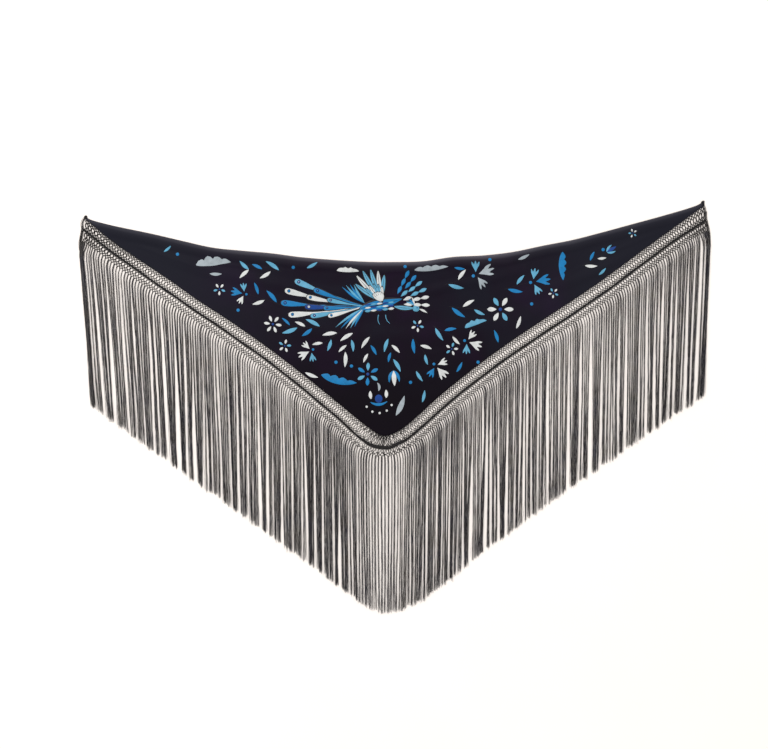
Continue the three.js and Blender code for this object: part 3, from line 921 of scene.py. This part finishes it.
def lay(colour, x, y, heading, length, half_width, curl=0, layer=0, waves=0, groove=True, outline=0):
    """Satin stitch along an arc, as wide to each side as half_width says for 0 to 1 along it."""
    if outline:
        lay("stem", *beyond(x, y, heading, -outline), heading, length + 2 * outline,
            lambda u: half_width(u) + outline, curl=curl, layer=layer - 1.2, groove=False)
    steps, across = (25, 7) if length > 60 else (15, 7) if length > 22 else (9, 5)
    u = 0.5 - 0.5 * np.cos(np.pi * np.linspace(0, 1, steps))
    xs, ys, dx, dy = bent_line(x, y, heading, length, curl, u)
    half = half_width(u)[:, None]
    v = np.linspace(-1, 1, across)[None, :]
    edge = half * v
    if waves:
        lumps = np.abs(np.sin(np.pi * waves * u))[:, None]
        edge = edge * np.where(v > 0, 0.75 + 0.6 * lumps, 0.6)
    body = dome(v) * np.minimum(1, half / 1.6)
    split = 0.35 * np.exp(-((v / 0.16) ** 2)) * groove
    rise = STITCH["rim"] + STITCH["rise"] * body * (1 - split) + STITCH["layer"] * layer
    rise = np.where(np.abs(v) == 1, STITCH["rim"], rise)
    slant = math.radians(STITCH["slant"])
    along, out = u[:, None] * length, np.abs(edge)
    threads = np.stack([
        along * math.cos(slant) + out * math.sin(slant),
        along * math.sin(slant) - out * math.cos(slant),
    ], axis=-1)
    patch(colour, xs[:, None] - dy[:, None] * edge, ys[:, None] + dx[:, None] * edge, rise, threads)


def blade(colour, x, y, heading, length, width, fullness=0.9, blunt=1.0, **more):
    """A leaf, petal or small feather, widest where fullness puts it and pointed unless it is blunt."""
    lay(colour, x, y, heading, length, lambda u: width / 2 * np.sin(np.pi * u**fullness) ** blunt, **more)


def lily(colour, x, y, heading, size, spread=62, points=3):
    """A petal cup in profile, whose far edge is cut into points."""
    r = np.linspace(0.05, 1, 7)[:, None]
    a = np.linspace(-1, 1, 6 * points + 1)[None, :]
    tips = np.cos(np.pi * points * a / 2) ** 2
    reach = size * r * (0.66 + 0.34 * tips * r)
    angle = np.radians(heading + a * spread / 2 * (0.72 + 0.28 * r))
    body = dome(2 * r - 1) * np.sqrt(1 - 0.9 * a**2)
    rim = (r == 1) | (np.abs(a) == 1)
    rise = np.where(rim, STITCH["rim"], STITCH["rim"] + STITCH["rise"] * body)
    threads = np.stack([a * 0.5 * size * np.ones_like(r), reach], axis=-1)
    patch(colour, x + reach * np.cos(angle), y + reach * np.sin(angle), rise, threads)


def disc(colour, x, y, radius, layer=0, squash=1.0, heading=0):
    """A round or oval filled spot."""
    r = np.linspace(0.02, 1, 4)[:, None]
    a = np.linspace(0, 2 * np.pi, 15)[None, :]
    lx, ly = radius * r * np.cos(a), radius * squash * r * np.sin(a)
    turn = math.radians(heading)
    px = x + lx * math.cos(turn) - ly * math.sin(turn)
    py = y + lx * math.sin(turn) + ly * math.cos(turn)
    rise = STITCH["rim"] + STITCH["rise"] * dome(r) * np.ones_like(a) + STITCH["layer"] * layer * (r < 1)
    patch(colour, px, py, rise, np.stack([lx, ly], axis=-1))


def stem(x, y, heading, length, curl=0, width=1.1, colour="stem"):
    """A thin line of stem stitch. Returns where it ends and the heading there."""
    steps = max(6, int(length / 7))
    u = np.linspace(0, 1, steps)
    xs, ys, dx, dy = bent_line(x, y, heading, length, curl, u)
    v = np.linspace(-1, 1, 4)[None, :]
    edge = width / 2 * v * (1 - 0.4 * u[:, None])
    rise = STITCH["rim"] + 0.5 * dome(v) * np.ones((steps, 1))
    threads = np.stack([u[:, None] * length + edge, edge * 2], axis=-1)
    patch(colour, xs[:, None] - dy[:, None] * edge, ys[:, None] + dx[:, None] * edge, rise, threads)
    return xs[-1], ys[-1], heading + curl


def star_flower(x, y, heading, size, colours, petals=6):
    """An open flower: a ring of petals round a small filled centre."""
    for k in range(petals):
        turn = heading + 360 * k / petals
        blade(colours[k % len(colours)], *beyond(x, y, turn, 0.15 * size), turn, 0.38 * size,
              0.8 * size / petals**0.75, fullness=1.25, blunt=0.7)
    disc("navy", x, y, 0.08 * size, layer=1)


def fan_flower(x, y, heading, size, colours):
    """A flower seen from the side: three cups that spread from a small dot."""
    for colour, turn in zip(colours, (heading - 72, heading + 72, heading)):
        lily(colour, *beyond(x, y, turn, 0.1 * size), turn, size * (0.66 if turn == heading else 0.5))
    disc("mid", *beyond(x, y, heading, -0.1 * size), 0.07 * size, layer=1)


def bud(x, y, heading, size, colours):
    """A closed bud: two outer petals that curl round a third."""
    blade(colours[0], x, y, heading, size, 0.34 * size)
    for side in (-1, 1):
        blade(colours[1], x, y, heading + 48 * side, 0.85 * size, 0.22 * size, curl=-52 * side)


def leaf_pair(x, y, heading, size, colours):
    for side, colour in zip((-1, 1), colours):
        blade(colour, x, y, heading + 36 * side, size, 0.32 * size, curl=14 * side)


FLOWERS = dict(star=star_flower, fan=fan_flower, bud=bud, pair=leaf_pair)


def bell(x, y, heading, size):
    """A round flower in profile between two petals, with a row of dots under it."""
    disc("navy", x, y, 0.2 * size, squash=0.9, heading=heading)
    back = beyond(x, y, heading, -0.1 * size)
    blade("mid", *beyond(*back, heading + 90, 0.36 * size), heading - 130, 0.8 * size, 0.13 * size, curl=80)
    for side in (-1, 1):
        blade("white", *beyond(x, y, heading + 90, side * 0.3 * size), heading + 12 * side,
              0.36 * size, 0.17 * size, curl=-20 * side)
    for turn in range(-60, 61, 30):
        disc("white", *beyond(x, y, heading + 180 + turn, 0.58 * size), 0.055 * size)
    blade("grey", *beyond(x, y, heading, 0.3 * size), heading - 40, 0.4 * size, 0.12 * size, curl=90)


def spray(x, y, heading, length, curl, leaves, size, colours, flower, flower_size, flower_colours):
    """A stem with leaves on alternate sides and a flower at its end."""
    xs, ys, _, _ = bent_line(x, y, heading, length, curl, np.linspace(0, 1, 40))
    end_x, end_y, end_heading = stem(x, y, heading, length, curl)
    for k in range(leaves):
        share = (k + 0.25) / (leaves + 0.9)
        at = int(share * 39)
        side = 1 if k % 2 else -1
        reach = size * (0.9 + 0.2 * math.sin(2.3 * k + 1.0))
        turn = heading + curl * share + side * (38 + 9 * math.sin(1.9 * k))
        blade(colours[k % len(colours)], *beyond(xs[at], ys[at], turn, 3), turn, reach,
              reach * (0.28 + 0.04 * math.sin(k)), curl=-20 * side)
    if flower:
        clear = 0.34 * flower_size if flower == "star" else 0
        end = beyond(end_x, end_y, end_heading, clear)
        FLOWERS[flower](*end, end_heading, flower_size, flower_colours or colours)


def tail_feather(x, y, heading, length, colours, curl, layer, width):
    """A long feather that widens into a round paddle with a ringed eye."""
    def half_width(u):
        opened = 0.3 + 0.7 * smoothstep(u, 1 - 4.4 * width / length, 1 - 0.9 * width / length)
        past = np.clip((u - 1 + width / 2 / length) * 2 * length / width, 0, 1)
        return width / 2 * opened * dome(past)

    lay(colours[0], x, y, heading, length, half_width, curl=curl, layer=layer, groove=False, outline=1.3)
    xs, ys, _, _ = bent_line(x, y, heading, length - 0.6 * width, curl, np.linspace(0, 1, 30))
    for colour, radius, up in (("stem", 0.33, 2), (colours[1], 0.25, 3), (colours[2], 0.1, 4)):
        disc(colour, xs[-1], ys[-1], radius * width, layer=layer + up)
    start = max(0, 29 - int(29 * 2.4 * width / length))
    end = 29 - int(29 * 0.35 * width / length)
    dx, dy = xs[end] - xs[start], ys[end] - ys[start]
    blade("stem", xs[start], ys[start], math.degrees(math.atan2(dy, dx)), math.hypot(dx, dy), 1.4,
          layer=layer + 2.4, groove=False)


def wing(x, y, headings, lengths, width, colours, curl, layer):
    """Flight feathers spread from one place, and two rows of shorter ones over their roots."""
    shape = dict(curl=curl, fullness=1.5, blunt=0.8)
    last = len(lengths) - 1
    for k, length in enumerate(lengths):
        blade(colours[k % 3], x, y, mix(*headings, k / last), length, width, layer=layer + 0.5 * (k % 2),
              outline=1.1, **shape)
    for share, up in ((0.58, 3), (0.34, 5)):
        for k in range(last):
            blade("white" if share < 0.5 else colours[(k + 1) % 3], x, y, mix(*headings, (k + 0.5) / last),
                  share * lengths[k], width * 0.9, layer=layer + up, outline=1.0, **shape)


BLUES = ("light", "mid", "white")
DEEP = ("mid", "white", "light")
SKY = ("light", "white", "mid")
PALE = ("white", "light", "white")
BRIGHT = ("white", "mid", "white")

# The tail's feathers, from the longest row to the shortest: width, then heading, length and colours of each.
EYES = dict(pale=("white", "mid", "navy"), blue=("mid", "navy", "light"), dark=("navy", "white", "mid"),
            sky=("light", "navy", "white"))
TAIL = [
    (18, [(190, 196, "pale"), (181, 214, "blue"), (172, 208, "pale"), (163, 190, "sky")]),
    (17, [(194, 140, "sky"), (184, 152, "dark"), (174, 150, "pale"), (165, 136, "blue")]),
    (15, [(199, 96, "pale"), (186, 104, "blue"), (173, 96, "sky")]),
]


def bird(x, y):
    """A long-tailed bird in flight, seen from the side, its head to the right."""
    for row, (width, feathers) in enumerate(TAIL):
        for heading, length, eye in feathers:
            tail_feather(x - 42, y - 6, heading, length, EYES[eye], curl=-7, layer=2.5 * row, width=width)
    for k in range(5):
        blade(("light", "mid", "white")[k % 3], x - 40, y - 10, 206 + 7 * k, 92 - 9 * k, 7, curl=16, layer=7)
    for k in range(4):
        blade(("mid", "light")[k % 2], x - 40, y + 2, 152 - 8 * k, 74 - 6 * k, 7, curl=-16, layer=7)
    blade("mid", x - 54, y - 12, 8, 116, 34, curl=10, layer=8, fullness=0.8, outline=1.2)
    for k in range(5):
        for j in range(3):
            blade(("light", "white", "navy")[(k + j) % 3], x - 24 + 15 * k, y - 17 + 8 * j + 1.5 * k, 188,
                  16, 7.5, layer=11, blunt=0.7)
    for reach, petals in ((28, 4), (50, 6), (72, 6)):
        for k in range(petals):
            turn = mix(-2, 64, k / (petals - 1))
            blade(("white", "light", "mid")[min(2, int(3 * k / petals))], *beyond(x + 32, y, turn, reach),
                  turn, 24, 10, fullness=1.3, blunt=0.8, layer=6)
    blade("light", x + 34, y - 6, -14, 58, 15, curl=20, layer=9, outline=1.1)
    disc("light", x + 92, y - 12, 9.5, layer=11, squash=0.85, heading=-10)
    disc("navy", x + 95, y - 10, 2.2, layer=14)
    blade("white", x + 100, y - 13, -16, 24, 6, curl=-20, layer=9)
    for k in range(3):
        blade(("white", "mid", "light")[k], x + 88, y - 4, 96 + 24 * k, 24, 5.5, curl=26, layer=8)
    wing(x + 6, y + 4, (92, 152), (72, 84, 92, 98, 98, 86), 15, ("light", "white", "light"), curl=-12,
         layer=9)
    for k in range(2):
        stem(x - 4 + 18 * k, y - 28, 246 + 20 * k, 26, curl=60, width=3, colour="light")


SPRAY_COLUMNS = (
    "x", "y", "heading", "length", "curl", "leaves", "size", "colours", "flower", "flower_size",
    "flower_colours",
)
SPRAYS = [
    (-292, 352, 174, 84, 6, 3, 40, SKY, "pair", 34, None),
    (-296, 266, 158, 96, 10, 2, 40, DEEP, "fan", 52, SKY),
    (-188, 208, 182, 112, -10, 5, 40, BLUES, "star", 44, ("white",)),
    (-142, 196, 218, 88, -10, 3, 38, PALE, "fan", 54, PALE),
    (-104, 196, 240, 84, 8, 4, 38, PALE, None, 0, None),
    (-62, 190, 262, 84, 6, 3, 36, BRIGHT, "star", 56, ("mid", "light")),
    (-16, 184, 282, 88, -8, 4, 36, SKY, "bud", 42, ("white", "mid")),
    (44, 186, 304, 98, 8, 3, 38, DEEP, "fan", 60, ("mid", "white", "white")),
    (98, 212, 330, 96, 10, 3, 38, BLUES, "fan", 60, ("light", "white", "white")),
    (138, 262, -8, 112, 8, 3, 42, DEEP, "star", 64, ("white", "white", "light")),
    (128, 318, 14, 84, 6, 2, 40, SKY, "fan", 70, ("grey", "light", "grey")),
    (282, 306, 18, 76, -8, 2, 38, ("mid", "light", "white"), "fan", 66, ("light", "light", "mid")),
    (482, 366, 26, 72, 6, 3, 32, ("white", "mid"), "bud", 30, ("navy", "light")),
]

# Broad leaves with one smooth and one scalloped side: colour, x, y, heading, length, width and curl.
CLOUD_LEAVES = [
    ("grey", -512, 368, 12, 90, 30, -14), ("white", -150, 354, 2, 58, 17, -8),
    ("grey", 50, 355, 2, 88, 19, 8),
    ("mid", -190, 86, -32, 96, 26, 38), ("light", 180, 206, 30, 60, 19, -22),
    ("mid", 432, 402, -104, 74, 24, 30),
]

# Small flowers: x, y and size. Spots: x and y. Small leaves: colour, x, y, heading and length.
STARS = [(-284, 160, 32), (146, 152, 32), (58, 212, 32), (-452, 306, 30), (408, 296, 26), (612, 450, 22)]
SPOTS = [
    (-152, 118), (40, 66), (214, 118), (352, 268), (-112, 108), (-404, 252), (244, 382), (536, 408),
    (-262, 362),
    (26, 364), (-560, 396),
]
SMALL_LEAVES = [
    ("mid", -352, 292, 100, 34), ("light", -228, 360, 20, 34), ("grey", -478, 346, -10, 34),
    ("white", -232, 92, -30, 38), ("mid", 152, 362, -16, 30), ("grey", 316, 382, 16, 34),
    ("light", 524, 342, 36, 28), ("white", 312, 204, 62, 36), ("mid", 266, 168, 100, 36),
    ("grey", 2, -20, 58, 58), ("light", 70, 14, 70, 34), ("light", -596, 402, 30, 26),
    ("mid", 158, 92, 52, 32), ("light", 54, 96, -66, 34),
]


def embroider():
    bird(-38, 268)
    for row in SPRAYS:
        spray(**dict(zip(SPRAY_COLUMNS, row)))
    for colour, x, y, heading, length, width, curl in CLOUD_LEAVES:
        blade(colour, x, y, heading, length, width, curl=curl, fullness=0.8, blunt=0.7, waves=4, groove=False)
    bell(-42, 24, 94, 64)
    for x, y, size in STARS:
        star_flower(x, y, x, size, PALE, petals=5)
    for x, y in SPOTS:
        disc("mid", x, y, 5.0)
    for colour, x, y, heading, length in SMALL_LEAVES:
        blade(colour, x, y, heading, length, 0.28 * length, curl=18)


# Stage


def make_floor(material):
    bpy.ops.mesh.primitive_plane_add(size=14, location=(0, 0, -0.0003))
    floor = bpy.context.object
    floor.name = "table_top"
    floor.data.materials.append(material)


def make_light(name, location, size, energy):
    """A square lamp, turned to the middle of the shawl."""
    light = bpy.data.lights.new(name, "AREA")
    light.size = size
    light.energy = energy
    obj = bpy.data.objects.new(name, light)
    obj.location = location
    obj.rotation_euler = (-obj.location).to_track_quat("-Z", "Y").to_euler()
    bpy.context.scene.collection.objects.link(obj)


def make_camera():
    camera = bpy.data.cameras.new("camera")
    camera.sensor_width = 36
    camera.lens = 36 * CAMERA["height"] / CAMERA["frame_width"]
    camera.clip_end = 100
    obj = bpy.data.objects.new("camera", camera)
    centre = (np.array(CAMERA["centre"]) + ORIGIN) * MM
    obj.location = (centre[0], centre[1], CAMERA["height"] * MM)
    bpy.context.scene.collection.objects.link(obj)
    bpy.context.scene.camera = obj


def make_world():
    world = bpy.data.worlds.new("soft_room")
    world.use_nodes = True
    background = world.node_tree.nodes["Background"]
    background.inputs["Color"].default_value = (1.0, 1.0, 1.0, 1.0)
    background.inputs["Strength"].default_value = 0.95
    bpy.context.scene.world = world
    bpy.context.scene.view_settings.view_transform = "Standard"


def main():
    rng = np.random.default_rng(SEED)
    silk = make_silk(silk_material())
    net_yarn = yarn_material("net_yarn", (18, 16, 17), (48, 44, 44))
    cord_yarn = yarn_material("cord_yarn", (18, 16, 17), (34, 31, 32))
    fringe_yarn = yarn_material("fringe_yarn", (16, 14, 18), (50, 46, 54), (90, 86, 84), (142, 139, 136))
    border_pieces = make_net("net_upper", UPPER_ROWS, net_yarn, rng)
    border_pieces += make_net("net_lower", LOWER_ROWS, net_yarn, rng)
    border_pieces += make_dense_row(cord_yarn, rng)
    for side in ("left", "right"):
        border_pieces += make_end_bundle(side, net_yarn, rng)
    border_pieces.append(make_tip_knots(cord_yarn))
    roots = bundle_roots()
    left, right = roots[roots <= point_s], roots[roots > point_s]
    border_pieces.append(make_fringe("left", left, 0, fringe_yarn, rng))
    border_pieces.append(make_fringe("right", right, len(left) * YARNS_IN_BUNDLE, fringe_yarn, rng))
    embroider()
    sewn = make_stitches()
    make_floor(floor_material())
    make_light("key", (-2.2, 3.0, 4.6), 3.0, 180)
    make_world()
    make_camera()


main()
